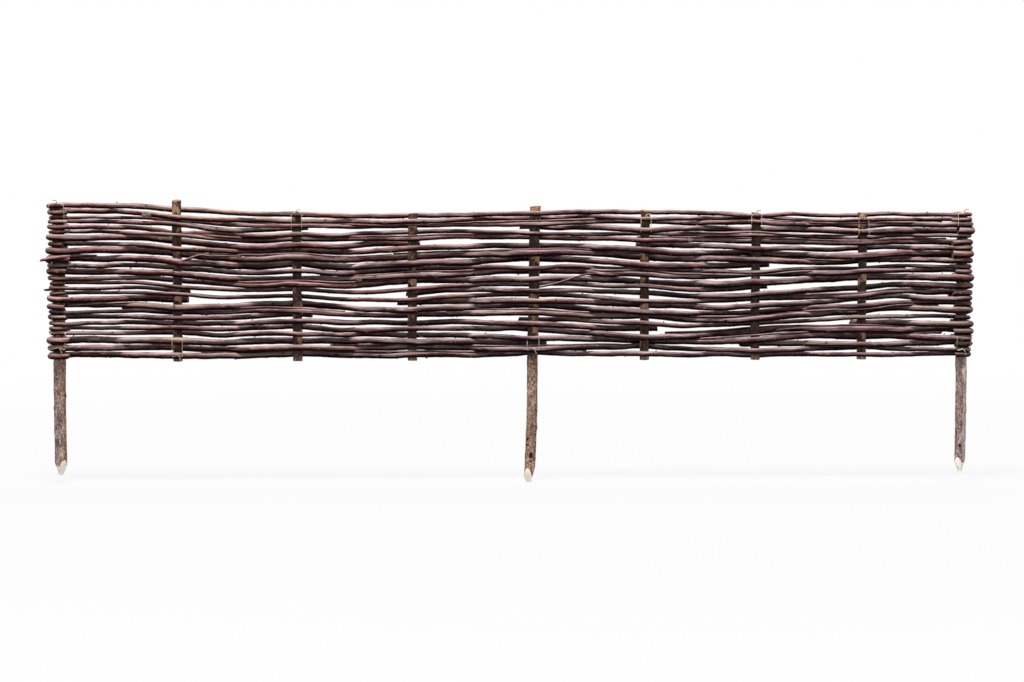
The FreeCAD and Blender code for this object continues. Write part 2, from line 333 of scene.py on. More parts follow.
class Socket:
    """A socket in a material's node tree. Arithmetic on it adds Math nodes."""

    def __init__(self, tree, socket=None):
        self.tree = tree
        self.socket = socket

    def node(self, kind, settings=None, inputs=None, output=0):
        """Add a node: its settings first, then the values or links of its sockets."""
        added = self.tree.nodes.new(kind)
        for name, value in (settings or {}).items():
            if name == "stops":
                ramp = added.color_ramp.elements
                while len(ramp) < len(value):
                    ramp.new(1.0)
                for element, (place, colour) in zip(ramp, value):
                    element.position = place
                    element.color = (*colour, 1.0)
            else:
                setattr(added, name, value)
        for name, value in (inputs or {}).items():
            if isinstance(value, Socket):
                self.tree.links.new(value.socket, added.inputs[name])
            else:
                added.inputs[name].default_value = value
        return Socket(self.tree, added.outputs[output])

    def math(self, operation, first, second):
        return self.node("ShaderNodeMath", {"operation": operation}, {0: first, 1: second})

    def __add__(self, other):
        return self.math("ADD", self, other)

    __radd__ = __add__

    def __sub__(self, other):
        return self.math("SUBTRACT", self, other)

    def __rsub__(self, other):
        return self.math("SUBTRACT", other, self)

    def __mul__(self, other):
        return self.math("MULTIPLY", self, other)

    __rmul__ = __mul__

    def above(self, edge, softness):
        """0 below the edge, 1 above it, with a soft step between."""
        settings = {"interpolation_type": "SMOOTHSTEP"}
        limits = {"Value": self, "From Min": edge - softness, "From Max": edge + softness}
        return self.node("ShaderNodeMapRange", settings, limits)

    def mixed(self, other, share):
        """This colour with a share of another."""
        if not isinstance(other, Socket):
            other = (*other, 1.0)
        # A Mix node takes its two colours at 6 and 7, and gives the mixed one at 2
        inputs = {"Factor": share, 6: self, 7: other}
        return self.node("ShaderNodeMix", {"data_type": "RGBA"}, inputs, 2)

    def part(self, axis):
        """One coordinate of a vector."""
        return self.node("ShaderNodeSeparateXYZ", None, {"Vector": self}, axis)

    def stretched(self, stretch, shift=(0, 0, 0)):
        """These coordinates with a scale along each axis."""
        return self.node("ShaderNodeMapping", None, {"Vector": self, "Scale": stretch, "Location": shift})

    def noise(self, stretch, detail=4.0, roughness=0.6, shift=(0, 0, 0)):
        """Noise on these coordinates, with a scale along each axis."""
        placed = self.stretched(stretch, shift)
        inputs = {"Vector": placed, "Scale": 1.0, "Detail": detail, "Roughness": roughness}
        return self.node("ShaderNodeTexNoise", None, inputs)

    def specks(self, stretch, size):
        """Small round spots, 1 inside."""
        inputs = {"Vector": self.stretched(stretch), "Scale": 1.0}
        return 1 - self.node("ShaderNodeTexVoronoi", None, inputs).above(size, size * SPECK_SOFTNESS)

    def attribute(self, name, output="Fac"):
        """What the mesh keeps at each of its points under a name."""
        return self.node("ShaderNodeAttribute", {"attribute_name": name}, None, output)

    def object_place(self):
        """Coordinates of the object itself."""
        return self.node("ShaderNodeTexCoord", None, None, "Object")

    def ramp(self, *stops):
        """Colours picked by this number."""
        return self.node("ShaderNodeValToRGB", {"stops": stops}, {"Fac": self})


def new_finish(name):
    """A material with its Principled shader, and a starting point for its nodes."""
    material = bpy.data.materials.new(name)
    material.use_nodes = True
    tree = material.node_tree
    return material, tree.nodes["Principled BSDF"], Socket(tree)


def connect(shader, **values):
    """Set or link the shader's sockets by name, with _ for a space."""
    for name, value in values.items():
        socket = shader.inputs[name.replace("_", " ")]
        if isinstance(value, Socket):
            value.tree.links.new(value.socket, socket)
        else:
            socket.default_value = value


def bumped(height, distance):
    """A normal that follows a height."""
    return height.node("ShaderNodeBump", None, {"Height": height, "Distance": distance, "Strength": 1.0})


def willow_bark():
    """Dried willow bark on the rods, following each rod through its bends."""
    material, shader, start = new_finish("willow_bark")
    grain = start.attribute("grain", "Vector")
    sunny = start.attribute("sunny")
    place = start.object_place()
    sideways = place.part("X")
    height = place.part("Z")

    # What differs from rod to rod
    kind = grain.noise((1.7, 0, 0), detail=1.0, roughness=0.4)
    plum_share = (kind + 0.16 * sideways - 0.7 * (height - 0.1)).above(0.5, 0.13)
    age = grain.noise((2.3, 0, 0), detail=1.0, roughness=0.4, shift=(31, 0, 0))

    # What differs along a rod and round it
    patches = grain.noise((26, 150, 150), detail=6.0, roughness=0.65)
    streaks = grain.noise((42, 1100, 1100), detail=6.0, roughness=0.72)
    wrinkles = grain.noise((700, 260, 260), detail=3.0)
    pores = grain.specks((190, 420, 420), 0.18) * grain.noise((60, 60, 60), detail=2.0).above(0.5, 0.1)
    scuffs = grain.noise((34, 380, 380), detail=7.0, shift=(7, 3, 1)).above(0.64, 0.06)
    bloom = grain.noise((14, 240, 240), detail=6.0, shift=(2, 9, 4)).above(0.58, 0.1)
    rust = patches.ramp(
        (0.3, (0.018, 0.004, 0.004)),
        (0.5, (0.102, 0.029, 0.025)),
        (0.72, (0.3, 0.125, 0.108)),
    )
    plum = patches.ramp(
        (0.3, (0.01, 0.003, 0.006)),
        (0.5, (0.06, 0.024, 0.032)),
        (0.72, (0.23, 0.13, 0.145)),
    )
    colour = rust.mixed(plum, plum_share)
    colour = colour.mixed((0.17, 0.115, 0.088), age.above(0.6, 0.06) * 0.6)
    colour = colour.mixed((0.022, 0.009, 0.009), (1 - age).above(0.58, 0.07) * 0.55)
    colour = colour.mixed((0.4, 0.295, 0.3), bloom * 0.5)
    colour = colour.mixed((0.022, 0.01, 0.01), streaks.above(0.55, 0.1) * 0.7)
    colour = colour.mixed((0.46, 0.34, 0.29), scuffs * 0.6)
    colour = colour.mixed((0.42, 0.3, 0.22), pores * 0.45)

    # Painted highlight on the upper shoulders, painted shade on the very tops, split bark in the bends, and
    # painted shade on the undersides
    painted_highlight = age.ramp((0.47, (0.56, 0.38, 0.375)), (0.6, (0.51, 0.41, 0.335)))
    colour = colour.mixed(painted_highlight, sunny.above(0.55, 0.4) * patches.above(0.45, 0.2) * 0.65)
    # Painted shade on the very tops, which tempers the painted highlight there
    colour = colour.mixed((0.075, 0.04, 0.037), sunny.above(0.86, 0.1) * 0.6)
    bent = (0 - sideways).above(-BENT_PAST_LEFT, 3 * MM) + sideways.above(BENT_PAST_RIGHT, 3 * MM)
    colour = colour.mixed((0.44, 0.25, 0.13), bent * streaks.above(0.6, 0.05) * 0.7)
    # Painted shade: the undersides darkened nearly to black
    colour = colour.mixed((0.004, 0.0015, 0.0015), (0 - sunny).above(0.15, 0.2) * 0.96)
    connect(
        shader,
        Base_Color=colour,
        Roughness=0.28 + patches * 0.2 + scuffs * 0.2,
        Specular_IOR_Level=BARK_SHINE,
        Normal=bumped(streaks * 0.8 + patches * 0.6 + wrinkles * 0.25 + pores * 0.5, 0.5 * MM),
    )
    return material


def stake_bark():
    """Older bark on the stakes: mauve grey and tan, with reddish patches and pale specks."""
    material, shader, start = new_finish("stake_bark")
    place = start.object_place()
    tanned = start.attribute("tan")
    tan_share = (tanned + 1.2 * (place.noise((110, 110, 40), detail=3.0) - 0.5)).above(0.5, 0.2)
    patches = place.noise((190, 190, 75), detail=7.0, roughness=0.66)
    fibres = place.noise((1000, 1000, 70), detail=5.0, roughness=0.7)
    red = place.noise((60, 60, 16), detail=4.0, shift=(3, 1, 5)).above(0.55, 0.08)
    flakes = place.noise((560, 560, 330), detail=6.0, roughness=0.72, shift=(5, 5, 2))
    marks = place.noise((230, 230, 130), detail=3.0, shift=(1, 8, 2)).above(0.66, 0.05)
    mauve = patches.ramp(
        (0.32, (0.078, 0.049, 0.045)),
        (0.5, (0.236, 0.156, 0.153)),
        (0.68, (0.54, 0.45, 0.435)),
    )
    tan = patches.ramp(
        (0.32, (0.085, 0.046, 0.031)),
        (0.5, (0.25, 0.148, 0.107)),
        (0.68, (0.57, 0.42, 0.285)),
    )
    colour = mauve.mixed(tan, tan_share)
    colour = colour.mixed((0.2, 0.08, 0.05), red * (0.3 + 0.3 * tanned))
    # Painted highlight: pale bark on the right side of the right post
    colour = colour.mixed((0.62, 0.55, 0.5), start.attribute("pale").above(0.5, 0.3) * 0.55)
    colour = colour.mixed((0.06, 0.034, 0.027), fibres.above(0.57, 0.09) * 0.4)
    colour = colour.mixed((0.035, 0.018, 0.014), marks * 0.75)
    colour = colour.mixed((0.04, 0.022, 0.018), flakes.above(0.56, 0.05) * 0.62)
    colour = colour.mixed((0.78, 0.66, 0.54), (1 - flakes).above(0.58, 0.05) * 0.56)

    # Painted shade on the stakes among the rods, with golden patches of painted light
    woven = place.part("Z").above(1 * MM, 6 * MM)
    gold = place.noise((60, 60, 48), detail=3.0, shift=(6, 2, 7)).above(0.58, 0.05)
    # Painted shade on the stakes among the rods
    colour = colour.mixed((0.03, 0.017, 0.015), woven * (1 - gold) * 0.85)
    # Golden patches of painted light on the stakes among the rods
    colour = colour.mixed((0.42, 0.245, 0.13), woven * gold * 0.55)

    # Branch scars, and the inner bark beside a cut
    bared = (start.attribute("peeled") + 0.7 * (fibres - 0.5)).above(0.45, 0.12)
    decayed = (start.attribute("rotten") + 0.5 * (patches - 0.5)).above(0.42, 0.16)
    colour = colour.mixed((0.66, 0.53, 0.39), bared * 0.85)
    colour = colour.mixed((0.025, 0.012, 0.009), decayed * 0.92)
    colour = colour.mixed((0.4, 0.17, 0.06), start.attribute("fresh").above(0.45, 0.3) * 0.85)
    connect(
        shader,
        Base_Color=colour,
        Roughness=0.5 + patches * 0.25,
        Specular_IOR_Level=BARK_SHINE,
        Normal=bumped(fibres * 0.6 + patches - flakes * 0.7 - marks * 0.6 - bared * 0.5, 0.8 * MM),
    )
    return material


def bare_wood(name, pale, dark, stretch):
    """Cut willow wood with faint grain and darker stains."""
    material, shader, start = new_finish(name)
    place = start.object_place()
    grain = place.noise(stretch, detail=5.0)
    stains = place.noise((140, 140, 140), detail=3.0, shift=(4, 2, 9)).above(0.62, 0.1)
    colour = grain.ramp((0.35, dark), (0.62, pale))
    colour = colour.mixed(tuple(0.6 * part for part in dark), stains * 0.3)
    connect(
        shader,
        Base_Color=colour,
        Roughness=0.62 + grain * 0.2,
        Specular_IOR_Level=BARK_SHINE,
        Normal=bumped(grain, 0.3 * MM),
    )
    return material


def sawn_wood():
    """Sawn top of a stake: growth rings round a dark pith, and saw marks across."""
    material, shader, start = new_finish("sawn_wood")
    place = start.object_place()
    from_pith = start.attribute("from_pith")
    wander = place.noise((260, 260, 260), detail=5.0)
    saw = place.noise((160, 2200, 160), detail=2.0)
    turns = (from_pith + GROWTH_RING_WANDER * wander) * (2 * math.pi / GROWTH_RING)
    rings = start.math("SINE", turns, 0.0)
    pith = 1 - from_pith.above(1.0 * MM, 0.6 * MM)
    colour = wander.ramp((0.35, (0.15, 0.095, 0.05)), (0.66, (0.33, 0.23, 0.135)))
    colour = colour.mixed((0.12, 0.068, 0.034), rings.above(0.3, 0.6) * 0.5)
    colour = colour.mixed((0.06, 0.032, 0.02), pith * 0.7)
    colour = colour.mixed((0.1, 0.06, 0.035), saw.above(0.6, 0.08) * 0.3)
    connect(
        shader,
        Base_Color=colour,
        Roughness=0.65 + wander * 0.2,
        Specular_IOR_Level=BARK_SHINE,
        Normal=bumped(rings * 0.3 + saw + wander, 0.25 * MM),
    )
    return material


def galvanised_wire():
    """Zinc-coated binding wire, dulled in places."""
    material, shader, start = new_finish("galvanised_wire")
    dull = start.object_place().noise((500, 500, 500), detail=4.0)
    connect(
        shader,
        Base_Color=dull.ramp((0.38, (0.19, 0.14, 0.09)), (0.66, (0.6, 0.5, 0.38))),
        Roughness=0.2 + dull * 0.3,
        Metallic=0.85,
        Normal=bumped(dull, 0.1 * MM),
    )
    return material


WILLOW_BARK = willow_bark()
STAKE_BARK = stake_bark()
POINT_WOOD = bare_wood("point_wood", (0.93, 0.88, 0.81), (0.86, 0.74, 0.6), (800, 800, 50))
CUT_WOOD = sawn_wood()
DULL_CUT = bare_wood("dull_cut", (0.15, 0.1, 0.07), (0.035, 0.02, 0.016), (420, 420, 420))
BURR_WOOD = bare_wood("burr_wood", (0.29, 0.21, 0.16), (0.04, 0.02, 0.016), (520, 520, 520))
TIE_WIRE = galvanised_wire()


# Making pieces with hand tools

def deselect():
    bpy.ops.object.select_all(action="DESELECT")


def work_on(piece):
    """Make a piece the only one selected."""
    deselect()
    piece.select_set(True)
    bpy.context.view_layer.objects.active = piece


def edit_selected(mesh, kind, chosen):
    """Select edges or polygons by a list of yes and no, and go into edit mode."""
    for parts in (mesh.polygons, mesh.edges, mesh.vertices):
        parts.foreach_set("select", [False] * len(parts))
    getattr(mesh, kind).foreach_set("select", chosen)
    bpy.context.tool_settings.mesh_select_mode = (False, kind == "edges", kind == "polygons")
    bpy.ops.object.mode_set(mode="EDIT")


def divide_lengthwise(piece, axis, cuts):
    """Cut the long sides of a plain cylinder into rings."""
    half = piece.dimensions[axis] / 2
    for count in cuts:
        mesh = piece.data
        along = [point.co[axis] for point in mesh.vertices]
        long_edges = [abs(along[edge.vertices[0]] - along[edge.vertices[1]]) > half for edge in mesh.edges]
        edit_selected(mesh, "edges", long_edges)
        bpy.ops.mesh.subdivide(number_cuts=count)
        bpy.ops.object.mode_set(mode="OBJECT")
        half /= count + 1


def edit_faces(piece, numbers):
    """Select the faces with these numbers, and go into edit mode."""
    wanted = set(numbers)
    faces = range(len(piece.data.polygons))
    edit_selected(piece.data, "polygons", [face in wanted for face in faces])


def raise_faces(steps):
    """Draw each selected face out in steps of narrowing and height."""
    for narrowing, height in steps:
        bpy.ops.mesh.inset(thickness=narrowing, depth=height, use_individual=True)


def displaced(piece, size, reach, direction="NORMAL", depth=2):
    """Move the surface by smooth noise that depends on place alone."""
    texture = bpy.data.textures.new("lumps", "CLOUDS")
    texture.noise_scale = size
    texture.noise_depth = depth
    work_on(piece)
    bpy.ops.object.modifier_add(type="DISPLACE")
    lumps = piece.modifiers[-1]
    lumps.texture = texture
    lumps.texture_coords = "LOCAL"
    lumps.direction = direction
    lumps.strength = reach
    lumps.mid_level = 0.5
    bpy.ops.object.modifier_apply(modifier=lumps.name)
    bpy.data.textures.remove(texture)


def noted(piece, name, values):
    """Keep a number at each point of the mesh for its finish."""
    piece.data.attributes.new(name, "FLOAT", "POINT").data.foreach_set("value", values)


def pushed(piece, weights, reach):
    """Move points along their normals, each as far as its weight says."""
    group = piece.vertex_groups.new(name="pushed")
    for number, weight in enumerate(weights):
        if weight > LEAST_WEIGHT:
            group.add([number], weight, "REPLACE")
    work_on(piece)
    bpy.ops.object.modifier_add(type="DISPLACE")
    push = piece.modifiers[-1]
    push.vertex_group = group.name
    push.strength = reach
    push.mid_level = 0
    bpy.ops.object.modifier_apply(modifier=push.name)
    piece.vertex_groups.clear()


def settle(piece):
    """Give a piece the waves that the whole weave shares."""
    for size, reach in WOBBLES:
        displaced(piece, size, reach, direction="Z", depth=0)


def slice_off(piece, place, outward, finish):
    """Saw off what lies beyond a plane and give the cut face its own finish, by number."""
    work_on(piece)
    piece.active_material_index = finish
    bpy.ops.object.mode_set(mode="EDIT")
    bpy.ops.mesh.select_all(action="SELECT")
    bpy.ops.mesh.bisect(plane_co=place, plane_no=outward, use_fill=True, clear_outer=True)
    bpy.ops.mesh.select_mode(type="FACE")
    bpy.ops.object.material_slot_assign()
    bpy.ops.object.mode_set(mode="OBJECT")


def smooth(piece):
    """Shade a piece smooth, apart from its sharp edges."""
    work_on(piece)
    bpy.ops.object.shade_smooth_by_angle(angle=SMOOTH_ANGLE)


def finish_piece(piece, name):
    """Name a piece, and say what it rides on."""
    piece.name = name
    piece.data.name = name
    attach(piece, "root")


def stand_for(piece, node):
    """Finish a piece that stands for a node of the frame."""
    finish_piece(piece, f"{node}_dressed")
    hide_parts(node)


# The straight willow stick

def make_stick():
    """A long straight stick with buds, side spurs and lumps, which keeps its straight places as grain."""
    deselect()
    bpy.ops.mesh.primitive_cylinder_add(
        vertices=STICK_SIDES,
        radius=STICK_RADIUS,
        depth=STICK_LENGTH,
        location=(STICK_LENGTH / 2, 0, 0),
        rotation=(0, math.pi / 2, 0),
    )
    stick = bpy.context.object
    bpy.ops.object.transform_apply(location=True, rotation=True, scale=True)
    divide_lengthwise(stick, 0, STICK_CUTS)
    stick.data.materials.append(WILLOW_BARK)
    stick.data.materials.append(DULL_CUT)

    # One bud on each stretch, on any side
    stretches = {}
    for face in stick.data.polygons:
        if len(face.vertices) == 4:
            stretches.setdefault(round(face.center.x / BUD_SPACING), []).append(face.index)
    edit_faces(stick, [chance.choice(stretch) for stretch in stretches.values()])
    raise_faces(BUD_STEPS)
    bpy.ops.transform.translate(value=(BUD_LEAN, 0, 0))
    bpy.ops.mesh.select_more()
    bpy.ops.mesh.vertices_smooth(factor=BUD_SOFTENING)
    bpy.ops.mesh.select_less()
    bpy.ops.object.mode_set(mode="OBJECT")

    # Some buds have grown into spurs
    buds = [face.index for face in stick.data.polygons if face.select]
    edit_faces(stick, [bud for bud in buds if chance.random() < SPUR_SHARE])
    raise_faces(SPUR_STEPS)
    bpy.ops.transform.translate(value=(BUD_LEAN, 0, 0))
    bpy.ops.object.mode_set(mode="OBJECT")

    displaced(stick, LUMP_SIZE, LUMP_HEIGHT)
    for size, reach, direction in CROOKED:
        displaced(stick, size, reach, direction, depth=0)
    mesh = stick.data
    straight = [part for point in mesh.vertices for part in point.co]
    mesh.attributes.new("grain", "FLOAT_VECTOR", "POINT").data.foreach_set("vector", straight)
    return stick


# Where the stakes and rods of the frame run

def stake_line(node):
    """A stake's place at height 0 and its lean to the right, as an angle."""
    if node != "middle_post":
        low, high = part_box(node)
        return (low.x + high.x) / 2, 0.0
    # The middle post follows its leg's axis, which passes through the origin
    down = next(Vector(leg["axis"]) for leg in frame["record"]["mounts"] if leg["name"] == "middle_leg")
    return 0.0, math.atan2(-down.x, -down.z)


def line_at(line, height):
    """Where a stake's middle line is at a height."""
    centre, lean = line
    return centre + math.tan(lean) * height


def rod_sections(node):
    """Upright sections of a rod, from the left: place of the axis and radius."""
    found = {}
    for point in frame["nodes"][node].data.vertices:
        x, y, z = (round(part, 5) for part in point.co)
        found.setdefault(x, set()).add((y, z))
    sections = []
    for x in sorted(found):
        if len(found[x]) == FRAME_ROD_SIDES:
            across, heights = zip(*found[x])
            middle = Vector((x, (min(across) + max(across)) / 2, (min(heights) + max(heights)) / 2))
            sections.append((middle, (max(heights) - min(heights)) / 2))
    return sections


def wrapped_end(crest, tail, outward):
    """Points round an end post, from beside the crest to the rod's end."""
    middle, radius = crest
    points = []
    for eighth in (1, 2, 3, 4):
        turned = eighth * math.pi / 4
        along = middle.x + outward * abs(middle.y) * math.sin(turned)
        points.append((Vector((along, middle.y * math.cos(turned), middle.z)), radius))
    return points + [tail]


def rod_route(node):
    """Points and radii that a rod follows from its left end to its right end."""
    sections = rod_sections(node)
    left_post = line_at(stake_line("left_end_post"), 0)
    right_post = line_at(stake_line("right_end_post"), 0)
    if abs(sections[0][0].x - left_post) < MM:
        crest, tail = sections[:2]
        sections = wrapped_end(crest, tail, -1)[::-1] + [crest] + sections[2:]
    if abs(sections[-1][0].x - right_post) < MM:
        tail, crest = sections[-2:]
        sections = sections[:-2] + [crest] + wrapped_end(crest, tail, 1)
    return sections


def crest_share(place):
    """1 where a rod passes a stake, 0 where it crosses between the stakes."""
    return min(1.0, abs(place.y) / CREST_DEPTH)


def front_rods(line):
    """Rods that pass in front of a stake, from the lowest: place of the axis and radius."""
    crests = []
    for node in frame["nodes"]:
        if node.startswith("rod_"):
            for place, radius in rod_sections(node):
                if place.y < 0 and abs(place.x - line_at(line, place.z)) < CREST_NEAR:
                    crests.append((place, radius * (1 + CREST_SWELL)))
    return sorted(crests, key=lambda crest: crest[0].z)


# The rods, twigs and shoots

def hand_laid(points):
    """The same points, each a little off as a hand leaves it."""
    laid = []
    for place, radius in points:
        shift = Vector((0, chance.gauss(0, ROUTE_SHIFT), chance.gauss(0, ROUTE_SHIFT)))
        laid.append((place + shift, radius * chance.uniform(1 - THICKNESS_CHANGE, 1 + THICKNESS_CHANGE)))
    return laid


def draw_route(points):
    """A smooth curve through the points, with the rod's thickness on it."""
    deselect()
    bpy.ops.curve.primitive_bezier_curve_add()
    path = bpy.context.object
    path.data.dimensions = "3D"
    path.data.resolution_u = ROUTE_RESOLUTION
    path.data.twist_mode = "Z_UP"
    path.data.use_radius = True
    path.data.use_deform_bounds = False
    spline = path.data.splines[0]
    spline.bezier_points.add(len(points) - len(spline.bezier_points))
    for control, (place, radius) in zip(spline.bezier_points, points):
        control.co = place
        control.radius = radius / STICK_RADIUS
        control.handle_left_type = "AUTO"
        control.handle_right_type = "AUTO"
    return path


def bend_stick(stick, points, spare):
    """A length of the stick, sawn off at both ends and bent along the points."""
    path = draw_route(points)
    bpy.context.view_layer.update()
    length = path.data.splines[0].calc_length()
    rod = stick.copy()
    rod.data = stick.data.copy()
    bpy.context.scene.collection.objects.link(rod)

    start = chance.uniform(STICK_MARGIN, STICK_LENGTH - length - STICK_MARGIN)
    for place, outward in ((start, -1), (start + length, 1)):
        place -= outward * chance.uniform(*spare)
        slant = [chance.uniform(-CUT_SLANT, CUT_SLANT) for _ in range(2)]
        slice_off(rod, (place, 0, 0), Vector((outward, *slant)).normalized(), ROD_CUT)
    work_on(rod)
    bpy.ops.object.mode_set(mode="EDIT")
    bpy.ops.mesh.select_all(action="SELECT")
    bpy.ops.mesh.delete_loose()
    bpy.ops.mesh.select_all(action="SELECT")
    bpy.ops.transform.translate(value=(-start, 0, 0))
    bpy.ops.object.mode_set(mode="OBJECT")

    bpy.ops.object.modifier_add(type="CURVE")
    bend = rod.modifiers[-1]
    bend.object = path
    bend.deform_axis = "POS_X"
    bpy.ops.object.modifier_apply(modifier=bend.name)
    route = path.data
    bpy.data.objects.remove(path)
    bpy.data.curves.remove(route)
    settle(rod)
    # Which way each point faces, for the painted highlight on the rod's upper side and the painted shade
    # under it
    noted(rod, "sunny", [point.normal.z for point in rod.data.vertices])
    smooth(rod)
    return rod


def make_rod(stick, node):
    """A rod, fuller where it passes a stake and slimmer in the left bay."""
    bay_start, bay_end = LEFT_BAY
    points = []
    for place, radius in rod_route(node):
        fuller = CREST_SWELL * crest_share(place)
        into_bay = (bay_start - place.x) / (bay_start - bay_end)
        slimmer = LEFT_BAY_SLIMMER * min(1.0, max(0.0, into_bay))
        points.append((place, radius * (1 + fuller) * (1 - slimmer)))
    rod = bend_stick(stick, hand_laid(points), END_SPARE)
    stand_for(rod, node)
    return rod


def make_twig(stick, name):
    """A thin twig that stands off the weave."""
    points = [(Vector((x, y, z)) * MM, radius * MM) for x, y, z, radius in TWIGS[name]]
    finish_piece(bend_stick(stick, points, TWIG_SPARE), name)


def make_shoot(stick, number):
    """A thin shoot that follows its rod round the stakes and lies in the groove in front between them."""
    node, left, right, side, first, last = SHOOTS[number]
    groove_lift, crest_lift = SHOOT_LIFT
    points = []
    for place, radius in rod_route(node):
        if left < place.x < right:
            share = (place.x - left) / (right - left)
            thin = first + (last - first) * share
            near = crest_share(place)
            lift = side * (radius + SHOOT_PRESSED * thin) * (groove_lift + crest_lift * near)
            points.append((place + Vector((0, (near - 1) * SHOOT_FORWARD, lift)), thin))
    for end, outward in ((0, -1), (-1, 1)):
        place, thin = points[end]
        slide = outward * chance.uniform(*SHOOT_SLIDE)
        tuck = Vector((slide, SHOOT_FORWARD + SHOOT_END_BACK, -SHOOT_END_DROP * side * thin))
        points[end] = (place + tuck, thin)
    shoot = bend_stick(stick, hand_laid(points), END_SPARE)
    finish_piece(shoot, f"shoot_{number + 1:02d}")


def make_burr(rods, number):
    """A rough swelling where a side shoot was trimmed, half sunk in the front of its rod."""
    node, along, size = BURRS[number]
    ring = [point.co for point in rods[node].data.vertices if abs(point.co.x - along) < BURR_RING]
    middle = sum(ring, Vector()) / len(ring)
    middle.y -= BURR_FORWARD * (middle.y - min(point.y for point in ring))
    deselect()
    bpy.ops.mesh.primitive_ico_sphere_add(subdivisions=BURR_DETAIL, radius=1, location=middle, scale=size)
    burr = bpy.context.object
    bpy.ops.object.transform_apply(location=True, rotation=True, scale=True)
    burr.data.materials.append(BURR_WOOD)
    displaced(burr, BURR_LUMP_SIZE, BURR_LUMP_HEIGHT, depth=3)
    smooth(burr)
    finish_piece(burr, f"burr_{number + 1}")


# The stakes

def upright_knots():
    """Branch scars at chance places on a short upright."""
    knots = []
    for _ in range(UPRIGHT_KNOTS):
        height = chance.uniform(*UPRIGHT_KNOT_HEIGHTS)
        turn = chance.uniform(0, 360)
        knots.append((height, turn, *UPRIGHT_KNOT_SIZE, chance.choice(("healed", "rotten"))))
    return knots


def carve_knots(stake, line, knots):
    """Swell the bark round each branch scar, sink a rotten one, and note where it is rotten or peeled."""
    count = len(stake.data.vertices)
    rim, rotten, peeled = ([0.0] * count for _ in range(3))
    for height, turn, width, length, state in knots:
        facing = Vector((math.cos(math.radians(turn)), math.sin(math.radians(turn)), 0))
        across = Vector((-facing.y, facing.x, 0))
        middle = Vector((line_at(line, height), 0, height))
        for point in stake.data.vertices:
            away = point.co - middle
            if abs(away.z) > KNOT_REACH * length or away.dot(facing) <= 0:
                continue
            aside = 2 * away.dot(across) / width
            upward = 2 * away.z / length
            lobes = math.sin(KNOT_LOBES * math.atan2(upward, aside) + turn)
            reach = math.hypot(aside, upward) * (1 + KNOT_LOBE_DEPTH * lobes)
            core = min(1.0, max(0.0, (KNOT_EDGE - reach) / KNOT_SOFTNESS))
            number = point.index
            if state == "peeled":
                peeled[number] = max(peeled[number], core)
                continue
            swell = core if state == "healed" else math.exp(-((reach - KNOT_EDGE) / KNOT_RIM) ** 2)
            rim[number] = max(rim[number], swell)
            if state == "rotten":
                rotten[number] = max(rotten[number], core)
    pushed(stake, rim, KNOT_RISE)
    pushed(stake, rotten, KNOT_SINK)
    noted(stake, "rotten", rotten)
    noted(stake, "peeled", peeled)


def ring_top(stake, crown):
    """Divide the sawn top, still selected, into rings."""
    work_on(stake)
    bpy.context.tool_settings.mesh_select_mode = (False, False, True)
    bpy.ops.object.mode_set(mode="EDIT")
    for inner in range(TOP_RINGS, 0, -1):
        bpy.ops.mesh.extrude_region()
        bpy.ops.transform.resize(value=[inner / (inner + 1)] * 3, center_override=crown)
    for _ in range(TOP_RINGS):
        bpy.ops.mesh.select_more()
    bpy.ops.object.material_slot_assign()
    bpy.ops.object.mode_set(mode="OBJECT")


def sharpen(stake, node, foot, radius):
    """Cut a post to a point."""
    for cut in range(2 * POINT_CUTS):
        lesser = (cut + POINT_TURN[node]) % 2
        if lesser and node == PLAIN_POINT:
            continue
        turn = math.pi * (cut + chance.uniform(-POINT_UNEVEN, POINT_UNEVEN)) / POINT_CUTS
        half = POINT_WIDTH / 2 * (LESSER_WIDTH if lesser else 1)
        steep = math.atan2(radius - half, POINT_LENGTH * (LESSER_LENGTH if lesser else 1))
        level = Vector((math.cos(turn), math.sin(turn), 0))
        outward = level * math.cos(steep) - Vector((0, 0, math.sin(steep)))
        slice_off(stake, foot + level * half, outward, STAKE_POINT)


def note_bark(stake, node, line, radius):
    """Note for the finishes how far points are from the pith, which are cut, how tan they are, and how much
    pale painted highlight they get.
    """
    points = [point.co for point in stake.data.vertices]
    aside = [at.x - line_at(line, at.z) for at in points]
    from_pith = [math.hypot(off, at.y) for off, at in zip(aside, points)]
    cut = {number for face in stake.data.polygons if face.material_index for number in face.vertices}
    noted(stake, "from_pith", from_pith)
    noted(stake, "fresh", [float(number in cut) for number in range(len(points))])
    shares = {"tan": TAN_SHARES.get(node, UPRIGHT_TAN), "pale": PAINTED_HIGHLIGHT_SHARES.get(node, NO_PAINTED_HIGHLIGHT)}
    for name, (share, change) in shares.items():
        noted(stake, name, [share + change * off / radius for off in aside])


